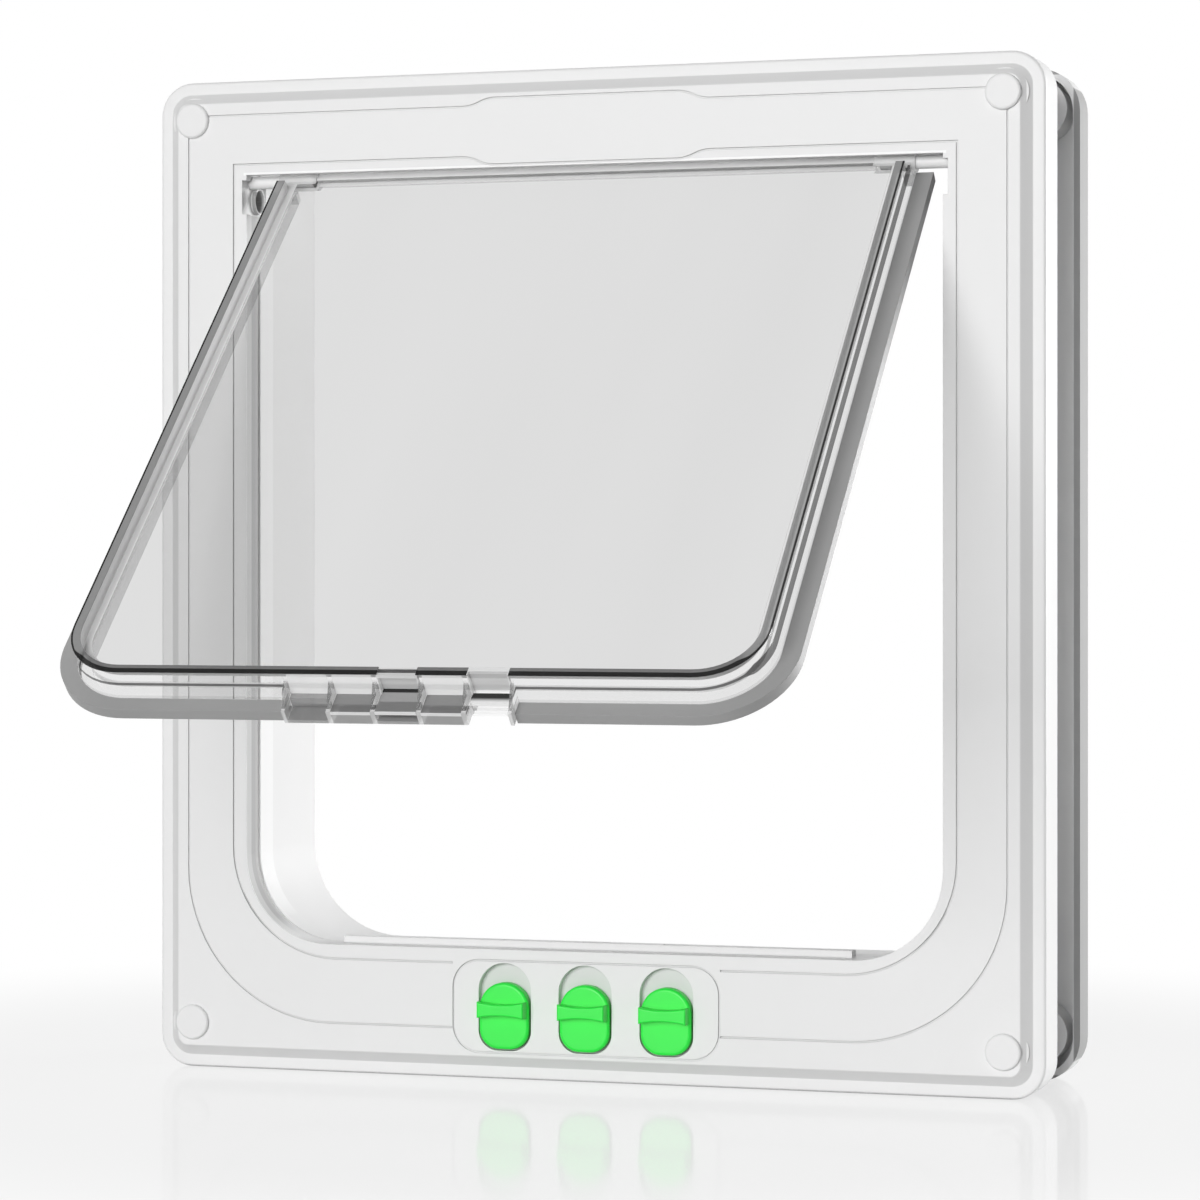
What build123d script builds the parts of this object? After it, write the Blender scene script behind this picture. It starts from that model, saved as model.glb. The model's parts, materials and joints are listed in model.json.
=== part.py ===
from build123d import *
from math import atan2, cos, degrees, radians, sin
import os

# Front frame
frame_width = 229.0
frame_height = 250.0
front_corner = 8.4
front_depth = 13.3
rim_width = 3.1
panel_inset = 5.8
panel_rise = 2.4
panel_thickness = 2.4
shell_wall = 2.4
edge_round = 0.8

# Passage through both frames
passage_width = 180.0
passage_height = 193.6
passage_corner = 22.0
sill_height = 32.3
sleeve_wall = 1.8
sleeve_reach = 1.6
lip_depth = 2.5
ceiling_rise = 4.3
seat_depth = 6.6
seat_step = 0.5

# Rear frame and the door between the frames
door_gap = 23.9
rear_depth = 11.8
rear_corner = 10.6
rear_round = 2.0
rear_wall = 1.8
rear_overhang = 0.75
sleeve_clearance = 0.5
ceiling_clearance = 0.3
sleeve_overlap = 1.0
rear_lip_drop = 4.1

# Lines moulded into the panel
line_width = 0.5
line_depth = 0.4
outer_line_side = 8.5
outer_line_top = 8.7
outer_line_bottom = 12.4
outer_line_corner = 38.5
inner_line_side_gap = 3.7
inner_line_top_gap = 2.9
inner_line_low_gap = 3.8
inner_line_corner = 28.0
bulge_height = 2.0
bulge_flat_half = 23.6
bulge_foot_half = 32.0
lock_plate_half = 34.6
lock_plate_low = 6.5
lock_plate_high = 29.8
lock_plate_corner = 7.0

# Frame screws and their caps
screw_side_inset = 9.8
screw_top_inset = 10.0
screw_bottom_inset = 11.6
screw_diameter = 3.8
screw_hole_clearance = 0.2
thread_clearance = 0.02
screw_head_diameter = 7.0
screw_head_height = 2.2
screw_tip_gap = 1.5
head_recess_diameter = 7.6
head_recess_depth = 5.2
screw_cross_length = 4.0
screw_cross_width = 0.9
screw_cross_depth = 1.2
front_boss_radius = 6.0
rear_boss_radius = 7.3
cap_diameter = 8.8
cap_height = 1.1
cap_round = 0.7
plug_length = 1.6
plug_clearance = 0.02

# Flap, given in its own plane: down from the hinge axis and forward of it
open_angle = 46.9
pivot_below_lip = 1.6
pivot_behind_rim = 2.9
crest_forward = 4.66
crest_corner = 15.0
crest_width = 2.2
crest_start = 5.3
wall_depth = 6.6
wall_flare = 0.6
pane_forward = 1.46
pane_backward = 0.6
pane_top = -1.6
pane_edge_round = 0.9
barrel_diameter = 4.8
barrel_length = 10.1
barrel_outset = 1.34
pin_diameter = 3.2
pin_end_wall = 1.2
pin_running_gap = 0.05
pin_fit_gap = 0.02
socket_depth = 4.3
pin_end_gap = 0.3
pin_tip_chamfer = 0.4
socket_boss_radius = 3.6
socket_floor = 2.0

# Seal strips
seal_side_gap = 3.9
seal_overhang_side = 5.04
seal_overhang_low = 4.3
seal_corner = 20.0
seal_front = 2.84
seal_thickness = 2.75
seal_start = 0.3
tongue_reach = 2.0
tongue_thickness = 1.0
latch_half = 26.5
seal_gap = 0.05

# Latch on the flap's lower edge
lock_spacing = 20.9
latch_sill_gap = 6.4
latch_below_seal = 1.7
latch_front = 1.15
latch_rear = 4.6
pocket_width = 9.6
pocket_height = 4.1
pocket_front = 1.85
pocket_rear = 3.85
web_thickness = 1.0
web_forward = 2.6
recess_depth = 1.1
recess_width = 9.0
notch_drop = 0.45
recess_drop = 1.2
web_foot = 0.6

# Lock buttons and bolts
slot_width = 13.7
slot_low = 7.3
slot_high = 29.0
slot_corner = 5.0
slot_depth = 2.0
slot_floor = 1.6
button_width = 12.9
button_low = 7.7
button_high = 24.2
button_proud = 1.0
button_round = 0.8
button_clearance = 0.3
lock_travel = 4.5
grip_width = 12.1
grip_height = 4.0
grip_waist = 2.7
grip_proud = 3.1
grip_level = 17.6
grip_round = 0.4
stem_width = 4.0
stem_low = 13.0
stem_height = 6.0
stem_clearance = 0.3
stem_fit_gap = 0.02
stem_depth = 1.4
bolt_plate_width = 14.0
bolt_plate_thickness = 2.0
bolt_plate_gap = 0.4
bolt_low = 11.2
bolt_shoulder = 25.5
bolt_width = 6.1
bolt_thickness = 1.4
bolt_behind_rim = 5.75
bolt_clearance = 0.3
bolt_tip_drop = 0.1
rib_width = 3.6
rib_height = 1.7
rib_end_gap = 24.0

# Lock cover
cover_half = 34.0
cover_low = 6.6
cover_high = 29.8
cover_thickness = 1.6
cover_corner = 3.0
guide_clearance = 0.3
guide_low = 8.6
guide_high = 28.0
guide_floor_gap = 0.1
cover_post_radius = 2.6
cover_post_x = 31.0
cover_post_level = 18.2
cover_post_root = 0.4
cover_screw_diameter = 2.2
cover_screw_head = 4.2
cover_screw_head_height = 1.4
cover_screw_length = 7.0
cover_slot_width = 0.7
cover_slot_depth = 0.6

# Round sockets in the upper corners of the passage
corner_socket_behind_rim = 6.4
corner_socket_below_lip = 6.0
corner_socket_radius = 3.4
corner_socket_bore = 2.9
corner_socket_depth = 3.0
corner_socket_floor = 1.2
corner_pocket_step = 1.2
corner_pocket_low_drop = 9.9
corner_pocket_high_drop = 1.3
corner_pocket_rear = 10.2

# Positions that follow from the dimensions above
bottom_z = -(sill_height + passage_height / 2)
top_z = bottom_z + frame_height
middle_z = (bottom_z + top_z) / 2
passage_half = passage_width / 2
sill_z = -passage_height / 2
lip_z = passage_height / 2
ceiling_z = lip_z + ceiling_rise
panel_front = front_depth + panel_rise
rear_face = door_gap + rear_depth
rear_width = frame_width + 2 * rear_overhang
rear_half = passage_half + sleeve_wall + sleeve_clearance
rear_sill_z = sill_z - sleeve_wall - sleeve_clearance
rear_ceiling_z = ceiling_z + sleeve_wall + ceiling_clearance
rear_passage_corner = passage_corner + sleeve_wall + sleeve_clearance
rear_sleeve_front = sleeve_reach - sleeve_overlap
screw_x = frame_width / 2 - screw_side_inset
screw_top_z = top_z - screw_top_inset
screw_bottom_z = bottom_z + screw_bottom_inset
screw_spots = [(x, z) for z in (screw_top_z, screw_bottom_z) for x in (-screw_x, screw_x)]
lock_x = [-lock_spacing, 0.0, lock_spacing]
pivot_z = lip_z - pivot_below_lip
corner_socket_z = lip_z - corner_socket_below_lip
seal_half = passage_half - seal_side_gap
crest_half = seal_half - seal_overhang_side
latch_down = passage_height - latch_sill_gap
seal_down = latch_down - latch_below_seal
crest_down = seal_down - seal_overhang_low
barrel_end = crest_half + barrel_outset
barrel_start = barrel_end - barrel_length
pin_start = barrel_start + pin_end_wall
pivot_front = front_depth - pivot_behind_rim
slot_back = panel_front - slot_depth
floor_back = slot_back - slot_floor
plate_front = floor_back - bolt_plate_gap
plate_back = plate_front - bolt_plate_thickness
bolt_middle = front_depth - bolt_behind_rim
bolt_front = bolt_middle + bolt_thickness / 2
bolt_back = bolt_middle - bolt_thickness / 2
cover_front = bolt_back - bolt_clearance
cover_back = cover_front - cover_thickness
bolt_tip_z = sill_z + rib_height - bolt_tip_drop
pin_end = passage_half + socket_depth - pin_end_gap
head_seat = panel_front - head_recess_depth
screw_tip = rear_face - panel_thickness - screw_tip_gap
button_face = panel_front + button_proud
button_back = slot_back + button_clearance
guide_x = (-lock_spacing / 2, lock_spacing / 2)
guide_width = lock_spacing - bolt_plate_width - 2 * guide_clearance
cover_screw_spots = [(x, bottom_z + cover_post_level) for x in (-cover_post_x, cover_post_x)]
rim_half = crest_half + wall_flare
rim_down = crest_down + wall_flare
rim_corner = crest_corner + wall_flare
wall_rear = wall_depth - crest_forward
seal_rear = seal_front + seal_thickness
tongue_front = seal_front + (seal_thickness - tongue_thickness) / 2
pocket_fronts = (latch_front, pocket_front, pocket_front)
pocket_backs = (pocket_rear, pocket_rear, latch_rear)
flap_plane = Plane(
    origin=(0, -pivot_front, pivot_z),
    x_dir=(1, 0, 0),
    z_dir=(0, -cos(radians(open_angle)), sin(radians(open_angle))),
)


# Rectangle centred on the local Y axis whose two lower corners are rounded
def low_rounded(sketch, half, low, high, corner):
    with Locations((0, (low + high) / 2)):
        Rectangle(2 * half, high - low)
    fillet(sketch.vertices().group_by(Axis.Y)[0], corner)


# Closed outline of a panel line: rounded below, square above, with a shallow step at the top centre
def panel_line(half, low, high, corner, step):
    step_half = (bulge_foot_half + bulge_flat_half) / 2
    with BuildLine() as outline:
        Polyline(
            (-bulge_foot_half, high),
            (-half, high),
            (-half, low + corner),
        )
        RadiusArc((-half, low + corner), (-half + corner, low), -corner)
        Line((-half + corner, low), (half - corner, low))
        RadiusArc((half - corner, low), (half, low + corner), -corner)
        Polyline((half, low + corner), (half, high), (bulge_foot_half, high))
        TangentArc((bulge_foot_half, high), (step_half, high + step / 2), tangent=(-1, 0))
        TangentArc((bulge_flat_half, high + step), (step_half, high + step / 2), tangent=(1, 0))
        Line((bulge_flat_half, high + step), (-bulge_flat_half, high + step))
        TangentArc((-bulge_flat_half, high + step), (-step_half, high + step / 2), tangent=(-1, 0))
        TangentArc((-bulge_foot_half, high), (-step_half, high + step / 2), tangent=(1, 0))
    make_face(outline.edges())


# Upright slot outline with a half-round top and two rounded lower corners
def arched(sketch, middle, width, low, high, corner):
    arch_z = high - width / 2
    with Locations((middle, (low + arch_z) / 2)):
        Rectangle(width, arch_z - low)
    fillet(sketch.vertices().group_by(Axis.Y)[0], corner)
    with Locations((middle, arch_z)):
        Circle(width / 2)


# Front frame
with BuildPart() as front_frame:
    with BuildSketch(Plane.XZ):
        with Locations((0, middle_z)):
            RectangleRounded(frame_width, frame_height, front_corner)
    extrude(amount=front_depth)
    rim_edges = front_frame.faces().sort_by(Axis.Y)[0].edges()
    fillet(rim_edges, edge_round)
    with BuildSketch(Plane.XZ.offset(front_depth)):
        with Locations((0, middle_z)):
            RectangleRounded(
                frame_width - 2 * rim_width,
                frame_height - 2 * rim_width,
                front_corner - rim_width,
            )
    extrude(amount=panel_rise, taper=degrees(atan2(panel_inset - rim_width, panel_rise)))
    # Hollow open towards the door
    with BuildSketch(Plane.XZ):
        with Locations((0, middle_z)):
            RectangleRounded(
                frame_width - 2 * shell_wall,
                frame_height - 2 * shell_wall,
                front_corner - shell_wall,
            )
    extrude(amount=front_depth - panel_thickness, mode=Mode.SUBTRACT)
    with BuildSketch(Plane.XZ):
        with Locations((0, middle_z)):
            RectangleRounded(
                frame_width - 2 * (panel_inset + shell_wall),
                frame_height - 2 * (panel_inset + shell_wall),
                front_corner - shell_wall,
            )
    extrude(amount=panel_front - panel_thickness, mode=Mode.SUBTRACT)
    # Sleeve that lines the passage
    with BuildSketch(Plane.XZ.offset(-sleeve_reach)) as sleeve_sketch:
        low_rounded(
            sleeve_sketch,
            passage_half + sleeve_wall,
            sill_z - sleeve_wall,
            ceiling_z + sleeve_wall,
            passage_corner + sleeve_wall,
        )
    extrude(amount=sleeve_reach + panel_front - panel_thickness / 2)
    # Bosses for the frame screws
    with BuildSketch(Plane.XZ):
        with Locations(*screw_spots):
            Circle(front_boss_radius)
    extrude(amount=panel_front - panel_thickness / 2)
    # Thick floor behind the lock slots and posts for the lock cover
    with BuildSketch(Plane.XZ.offset(floor_back)):
        with Locations((0, bottom_z + (lock_plate_low + lock_plate_high) / 2)):
            Rectangle(2 * lock_plate_half, lock_plate_high - lock_plate_low)
    extrude(amount=panel_thickness)
    with BuildSketch(Plane.XZ.offset(cover_front)):
        with Locations(*cover_screw_spots):
            Circle(cover_post_radius)
    extrude(amount=floor_back - cover_front + cover_post_root)
    # Hinge bosses and corner socket bosses outside the sleeve walls
    for side in (-1, 1):
        with BuildSketch(Plane.YZ.offset(side * passage_half)):
            with Locations((-pivot_front, pivot_z)):
                Circle(socket_boss_radius)
        extrude(amount=side * (socket_depth + socket_floor))
        with BuildSketch(Plane.YZ.offset(side * passage_half)):
            with Locations((corner_socket_behind_rim - front_depth, corner_socket_z)):
                Circle(corner_socket_radius + corner_socket_floor)
        extrude(amount=side * (corner_socket_depth + corner_socket_floor))
    # Passage, its higher ceiling behind the lip and the seat for the flap's seal
    with BuildSketch(Plane.XZ.offset(-sleeve_reach)) as passage_sketch:
        low_rounded(passage_sketch, passage_half, sill_z, lip_z, passage_corner)
    extrude(amount=sleeve_reach + panel_front, mode=Mode.SUBTRACT)
    with BuildSketch(Plane.XZ.offset(-sleeve_reach)):
        Rectangle(passage_width, 2 * ceiling_z)
        with Locations((0, -passage_corner)):
            Rectangle(passage_width, 2 * ceiling_z, mode=Mode.SUBTRACT)
    extrude(amount=sleeve_reach + panel_front - lip_depth, mode=Mode.SUBTRACT)
    with BuildSketch(Plane.XZ.offset(front_depth - seat_depth)) as seat_sketch:
        low_rounded(
            seat_sketch,
            passage_half + seat_step,
            sill_z,
            ceiling_z,
            passage_corner,
        )
    extrude(amount=seat_depth + panel_rise - lip_depth, mode=Mode.SUBTRACT)
    # Corner pockets with their round sockets, and the hinge pin sockets
    for side in (-1, 1):
        with BuildSketch(Plane.YZ.offset(side * passage_half)):
            with Locations(
                (
                    (corner_pocket_rear - front_depth - panel_front) / 2,
                    lip_z - (corner_pocket_low_drop + corner_pocket_high_drop) / 2,
                )
            ):
                Rectangle(
                    corner_pocket_rear - front_depth + panel_front,
                    corner_pocket_low_drop - corner_pocket_high_drop,
                )
        extrude(amount=side * corner_pocket_step, mode=Mode.SUBTRACT)
        with BuildSketch(Plane.YZ.offset(side * passage_half)):
            with Locations((corner_socket_behind_rim - front_depth, corner_socket_z)):
                Circle(corner_socket_radius)
        extrude(amount=side * (corner_pocket_step + seat_step))
        with BuildSketch(Plane.YZ.offset(side * passage_half)):
            with Locations((corner_socket_behind_rim - front_depth, corner_socket_z)):
                Circle(corner_socket_bore)
        extrude(amount=side * corner_socket_depth, mode=Mode.SUBTRACT)
        with BuildSketch(Plane.YZ.offset(side * passage_half)):
            with Locations((-pivot_front, pivot_z)):
                Circle(pin_diameter / 2 + pin_running_gap)
        extrude(amount=side * socket_depth, mode=Mode.SUBTRACT)
    # Rib along the sill
    with BuildSketch(Plane.XY.offset(sill_z - sleeve_wall / 2)):
        with Locations((0, -bolt_middle)):
            Rectangle(passage_width - 2 * rib_end_gap, rib_width)
    extrude(amount=rib_height + sleeve_wall / 2)
    # Bolt openings through the sill and the rib
    with BuildSketch(Plane.XY.offset(sill_z - sleeve_wall)):
        with Locations(*[(x, -bolt_middle) for x in lock_x]):
            Rectangle(bolt_width + 2 * bolt_clearance, bolt_thickness + 2 * bolt_clearance)
    extrude(amount=rib_height + sleeve_wall, mode=Mode.SUBTRACT)
    # Lock slots with a narrower opening for each button's stem
    for x in lock_x:
        with BuildSketch(Plane.XZ.offset(panel_front)) as slot_sketch:
            arched(slot_sketch, x, slot_width, bottom_z + slot_low, bottom_z + slot_high, slot_corner)
        extrude(amount=-slot_depth, mode=Mode.SUBTRACT)
    with BuildSketch(Plane.XZ.offset(floor_back)):
        with Locations(*[(x, bottom_z + stem_low + (stem_height + lock_travel) / 2) for x in lock_x]):
            Rectangle(
                stem_width + 2 * stem_clearance,
                stem_height + lock_travel + 2 * stem_clearance,
            )
    extrude(amount=slot_floor, mode=Mode.SUBTRACT)
    # Lines moulded into the panel
    with BuildSketch(Plane.XZ.offset(panel_front)):
        panel_line(
            frame_width / 2 - outer_line_side,
            bottom_z + outer_line_bottom,
            top_z - outer_line_top,
            outer_line_corner,
            bulge_height,
        )
        offset(amount=-line_width, mode=Mode.SUBTRACT)
        with Locations((0, bottom_z + (lock_plate_low + lock_plate_high) / 2)):
            Rectangle(
                2 * lock_plate_half,
                lock_plate_high - lock_plate_low,
                mode=Mode.SUBTRACT,
            )
    extrude(amount=-line_depth, mode=Mode.SUBTRACT)
    with BuildSketch(Plane.XZ.offset(panel_front)):
        panel_line(
            passage_half + inner_line_side_gap,
            sill_z - inner_line_low_gap,
            lip_z + inner_line_top_gap,
            inner_line_corner,
            -bulge_height,
        )
        offset(amount=-line_width, mode=Mode.SUBTRACT)
        with Locations((0, bottom_z + (lock_plate_low + lock_plate_high) / 2)):
            Rectangle(
                2 * lock_plate_half,
                lock_plate_high - lock_plate_low,
                mode=Mode.SUBTRACT,
            )
    extrude(amount=-line_depth, mode=Mode.SUBTRACT)
    with BuildSketch(Plane.XZ.offset(panel_front)):
        with Locations((0, bottom_z + (lock_plate_low + lock_plate_high) / 2)):
            RectangleRounded(
                2 * lock_plate_half,
                lock_plate_high - lock_plate_low,
                lock_plate_corner,
            )
        offset(amount=-line_width, mode=Mode.SUBTRACT)
    extrude(amount=-line_depth, mode=Mode.SUBTRACT)
    # Screw holes with deep recesses for the heads
    with BuildSketch(Plane.XZ.offset(panel_front)):
        with Locations(*screw_spots):
            Circle(head_recess_diameter / 2)
    extrude(amount=-head_recess_depth, mode=Mode.SUBTRACT)
    with BuildSketch(Plane.XZ):
        with Locations(*screw_spots):
            Circle(screw_diameter / 2 + screw_hole_clearance)
    extrude(amount=panel_front, mode=Mode.SUBTRACT)
    with BuildSketch(Plane.XZ.offset(cover_front)):
        with Locations(*cover_screw_spots):
            Circle(cover_screw_diameter / 2 + thread_clearance)
    extrude(amount=cover_screw_length - cover_thickness + cover_post_root, mode=Mode.SUBTRACT)
front_frame.part.label = "front_frame"

# Rear frame
with BuildPart() as rear_frame:
    with BuildSketch(Plane.XZ.offset(-rear_face)):
        with Locations((0, middle_z)):
            RectangleRounded(rear_width, frame_height, rear_corner)
    extrude(amount=rear_depth)
    fillet(rear_frame.faces().sort_by(Axis.Y)[-1].edges(), rear_round)
    with BuildSketch(Plane.XZ.offset(-door_gap)):
        with Locations((0, middle_z)):
            RectangleRounded(
                rear_width - 2 * rear_wall,
                frame_height - 2 * rear_wall,
                rear_corner - rear_wall,
            )
    extrude(amount=-(rear_depth - panel_thickness), mode=Mode.SUBTRACT)
    with BuildSketch(Plane.XZ.offset(-rear_sleeve_front)) as rear_sleeve_sketch:
        low_rounded(
            rear_sleeve_sketch,
            rear_half + sleeve_wall,
            rear_sill_z - sleeve_wall,
            rear_ceiling_z + sleeve_wall,
            rear_passage_corner + sleeve_wall,
        )
    extrude(amount=-(rear_face - rear_sleeve_front - panel_thickness / 2))
    with BuildSketch(Plane.XZ.offset(-door_gap)):
        with Locations(*screw_spots):
            Circle(rear_boss_radius)
    extrude(amount=-(rear_depth - panel_thickness / 2))
    with BuildSketch(Plane.XZ.offset(-rear_sleeve_front)) as rear_passage_sketch:
        low_rounded(
            rear_passage_sketch,
            rear_half,
            rear_sill_z,
            rear_ceiling_z - rear_lip_drop,
            rear_passage_corner,
        )
    extrude(amount=-(rear_face - rear_sleeve_front), mode=Mode.SUBTRACT)
    with BuildSketch(Plane.XZ.offset(-rear_sleeve_front)):
        with Locations((0, rear_ceiling_z - rear_lip_drop)):
            Rectangle(2 * rear_half, 2 * rear_lip_drop)
    extrude(amount=-(rear_face - rear_sleeve_front - panel_thickness), mode=Mode.SUBTRACT)
    with BuildSketch(Plane.XZ.offset(-door_gap)):
        with Locations(*screw_spots):
            Circle(screw_diameter / 2 + thread_clearance)
    extrude(amount=-(rear_depth - panel_thickness), mode=Mode.SUBTRACT)
rear_frame.part.label = "rear_frame"

# Flap
with BuildPart() as flap:
    with BuildSketch(flap_plane.offset(crest_forward)) as crest_sketch:
        low_rounded(crest_sketch, crest_half, -crest_down, crest_down, crest_corner)
    extrude(amount=-wall_depth, taper=-degrees(atan2(wall_flare, wall_depth)))
    with BuildSketch(flap_plane.offset(crest_forward)) as tray_sketch:
        low_rounded(
            tray_sketch,
            crest_half - crest_width,
            crest_width - crest_down,
            crest_down,
            crest_corner - crest_width,
        )
    extrude(amount=pane_forward - crest_forward, mode=Mode.SUBTRACT)
    # Trim the rim and the pane's upper edge
    with BuildSketch(flap_plane.offset(crest_forward)):
        with Locations((0, crest_down - crest_start)):
            Rectangle(4 * crest_half, 2 * crest_down)
    extrude(amount=pane_forward - crest_forward, mode=Mode.SUBTRACT)
    with BuildSketch(flap_plane.offset(crest_forward)):
        with Locations((0, crest_down - pane_top)):
            Rectangle(4 * crest_half, 2 * crest_down)
    extrude(amount=-2 * wall_depth, mode=Mode.SUBTRACT)
    with BuildSketch(flap_plane.offset(-pane_backward)) as hollow_sketch:
        low_rounded(
            hollow_sketch,
            crest_half - crest_width,
            crest_width - crest_down,
            0,
            crest_corner - crest_width,
        )
    extrude(amount=-wall_depth, mode=Mode.SUBTRACT)
    upward = Axis(flap_plane.origin, flap_plane.y_dir)
    top_edges = flap.edges().filter_by(Axis.X).group_by(upward)[-1]
    fillet(top_edges.sort_by(SortBy.LENGTH)[-1], pane_edge_round)
    # Rear rim with the tongue that carries the seal strips
    with BuildSketch(flap_plane.offset(-wall_rear)) as rear_rim_sketch:
        low_rounded(rear_rim_sketch, rim_half, -rim_down, -seal_start, rim_corner)
    extrude(amount=wall_rear - seal_rear)
    with BuildSketch(flap_plane.offset(-tongue_front)) as tongue_sketch:
        low_rounded(
            tongue_sketch,
            rim_half + tongue_reach,
            -rim_down - tongue_reach,
            -seal_start,
            rim_corner + tongue_reach,
        )
    extrude(amount=-tongue_thickness)
    with BuildSketch(flap_plane.offset(-wall_rear)) as rim_hollow_sketch:
        low_rounded(
            rim_hollow_sketch,
            crest_half - crest_width,
            crest_width - crest_down,
            0,
            crest_corner - crest_width,
        )
    extrude(amount=wall_rear - seal_rear, mode=Mode.SUBTRACT)
    # Ledge across the latch with its three pockets
    with BuildSketch(flap_plane.offset(-latch_front)):
        with Locations((0, -(crest_down + latch_down) / 2)):
            Rectangle(2 * latch_half, latch_down - crest_down)
    extrude(amount=latch_front - latch_rear)
    for x, pocket_from, pocket_to in zip(lock_x, pocket_fronts, pocket_backs):
        with BuildSketch(flap_plane.offset(-pocket_from)):
            with Locations((x, -latch_down + pocket_height / 2)):
                Rectangle(pocket_width, pocket_height)
        extrude(amount=pocket_from - pocket_to, mode=Mode.SUBTRACT)
    # Webs on both sides of each pocket
    for x in lock_x:
        for edge_x in (x - pocket_width / 2 - web_thickness, x + pocket_width / 2):
            with BuildSketch(Plane(flap_plane.location * Location((edge_x, 0, 0), (90, 90, 0)))):
                with BuildLine():
                    Polyline(
                        (-crest_down, web_forward),
                        (-latch_down + web_foot, -latch_front),
                        (-crest_down, -latch_front),
                        close=True,
                    )
                make_face()
            extrude(amount=web_thickness)
    # Recesses in the rim's outer wall above two pockets, and a shallow notch across the crest
    for x, recess_from in zip(lock_x[1:], (crest_forward - recess_drop, crest_forward)):
        with BuildSketch(flap_plane.offset(recess_from)):
            with Locations((x, -crest_down - recess_width / 2 + recess_depth)):
                Rectangle(recess_width, recess_width)
        extrude(amount=-recess_from - latch_front, mode=Mode.SUBTRACT)
    with BuildSketch(flap_plane.offset(crest_forward)):
        with Locations((lock_x[1], -crest_down)):
            Rectangle(recess_width, 3 * crest_width)
    extrude(amount=-notch_drop, mode=Mode.SUBTRACT)
    # Hinge barrels
    for side in (-1, 1):
        with BuildSketch(Plane.YZ.offset(side * barrel_start)):
            with Locations((-pivot_front, pivot_z)):
                Circle(barrel_diameter / 2)
        extrude(amount=side * (barrel_end - barrel_start))
        with BuildSketch(Plane.YZ.offset(side * pin_start)):
            with Locations((-pivot_front, pivot_z)):
                Circle(pin_diameter / 2 + pin_fit_gap)
        extrude(amount=side * (barrel_end - pin_start), mode=Mode.SUBTRACT)
flap.part.label = "flap"

# Seal strips, one each side of the latch
seals = {}
for side_name, kept in (("left", Keep.BOTTOM), ("right", Keep.TOP)):
    with BuildPart() as seal:
        with BuildSketch(flap_plane.offset(-seal_front)) as seal_sketch:
            low_rounded(seal_sketch, seal_half, -seal_down, -seal_start, seal_corner)
        extrude(amount=-seal_thickness)
        with BuildSketch(flap_plane.offset(-seal_front)) as seal_inner_sketch:
            low_rounded(
                seal_inner_sketch,
                rim_half + seal_gap,
                -rim_down - seal_gap,
                0,
                rim_corner + seal_gap,
            )
        extrude(amount=-seal_thickness, mode=Mode.SUBTRACT)
        with BuildSketch(flap_plane.offset(-tongue_front)) as groove_sketch:
            low_rounded(
                groove_sketch,
                rim_half + tongue_reach + seal_gap,
                -rim_down - tongue_reach - seal_gap,
                0,
                rim_corner + tongue_reach + seal_gap,
            )
        extrude(amount=-tongue_thickness, mode=Mode.SUBTRACT)
        with BuildSketch(flap_plane.offset(-seal_front)):
            with Locations((0, -seal_down)):
                Rectangle(2 * (latch_half + seal_gap), seal_down)
        extrude(amount=-seal_thickness, mode=Mode.SUBTRACT)
        split(bisect_by=Plane.YZ, keep=kept)
    seal.part.label = "flap_seal_" + side_name
    seals[side_name] = seal.part

# Hinge pins
pins = {}
for side_name, side in (("left", -1), ("right", 1)):
    with BuildPart() as pin:
        with BuildSketch(Plane.YZ.offset(side * pin_start)):
            with Locations((-pivot_front, pivot_z)):
                Circle(pin_diameter / 2)
        extrude(amount=side * (pin_end - pin_start))
        chamfer(pin.faces().sort_by(Axis.X)[0 if side < 0 else -1].edges(), pin_tip_chamfer)
    pin.part.label = "pivot_pin_" + side_name
    pins[side_name] = pin.part

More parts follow.
